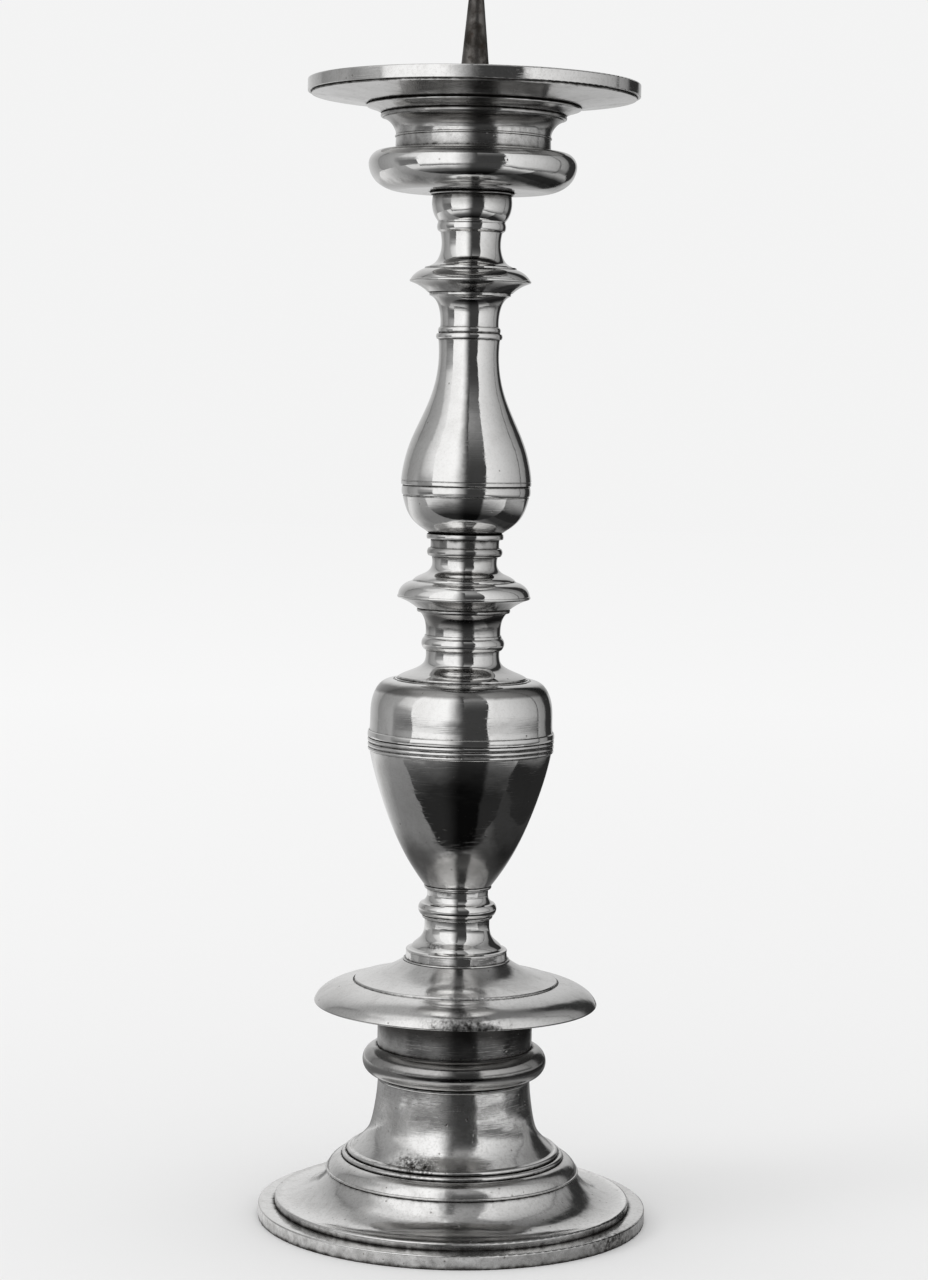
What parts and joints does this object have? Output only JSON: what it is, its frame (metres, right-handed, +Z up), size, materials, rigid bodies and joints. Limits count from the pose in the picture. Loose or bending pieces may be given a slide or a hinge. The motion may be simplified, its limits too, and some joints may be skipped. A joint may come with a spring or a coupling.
{
  "type": "candlestick",
  "caption": "Tall turned silver pricket candlestick: stepped round foot, disc base, vase and pear baluster with knops, and a wide drip pan with a spike for the candle.",
  "frame": {"origin": "centre of the foot's underside, where the candlestick meets the table", "axes": "+Z up along the axis all pieces are turned about; X and Y are alike, except that the wing nut's two wings lie along X"},
  "size_m": [0.144, 0.144, 0.4735],
  "materials": {
    "stem_silver": "polished",
    "foot_silver": "gloss",
    "pan_silver": "gloss",
    "pricket_iron": "satin",
    "rod_iron": "matte"
  },
  "bodies": {
    "stick": {"foot_rim": "foot_silver", "foot_shell": "foot_silver", "neck_sleeve": "stem_silver", "neck_ring": "stem_silver", "disc_plate": "stem_silver", "base_disc": "stem_silver", "lower_spool": "stem_silver", "urn_bowl": "stem_silver", "urn_band": "stem_silver", "urn_shoulder": "stem_silver", "mid_spool_lower": "stem_silver", "mid_knop": "stem_silver", "mid_spool_upper": "stem_silver", "pear_lower": "stem_silver", "pear_upper": "stem_silver", "upper_spool": "stem_silver", "upper_knop": "stem_silver", "top_neck": "stem_silver", "top_plate": "stem_silver", "pan_cushion": "stem_silver", "pricket": "pricket_iron", "tie_rod": "rod_iron"},
    "pan": {"pan_collar": "stem_silver", "drip_pan": "pan_silver", "pan_rim": "pan_silver"},
    "washer": {"foot_washer": "rod_iron"},
    "nut": {"wing_nut": "rod_iron"}
  },
  "joints": [
    {"name": "pan_lift", "type": "slide", "parent": "stick", "child": "pan", "axis": [0, 0, 1], "range_m": [0, 0.082]},
    {"name": "washer_drop", "type": "slide", "parent": "stick", "child": "washer", "axis": [0, 0, 1], "range_m": [-0.00625, 0]},
    {"name": "nut_turn", "type": "hinge", "parent": "washer", "child": "nut", "pos_m": [0, 0, 0.0394], "axis": [0, 0, 1], "range_deg": [-1800, 0]}
  ],
  "couplings": [
    {"joint": "nut_turn", "follows": "washer_drop", "rad_per_m": 5026.5}
  ]
}
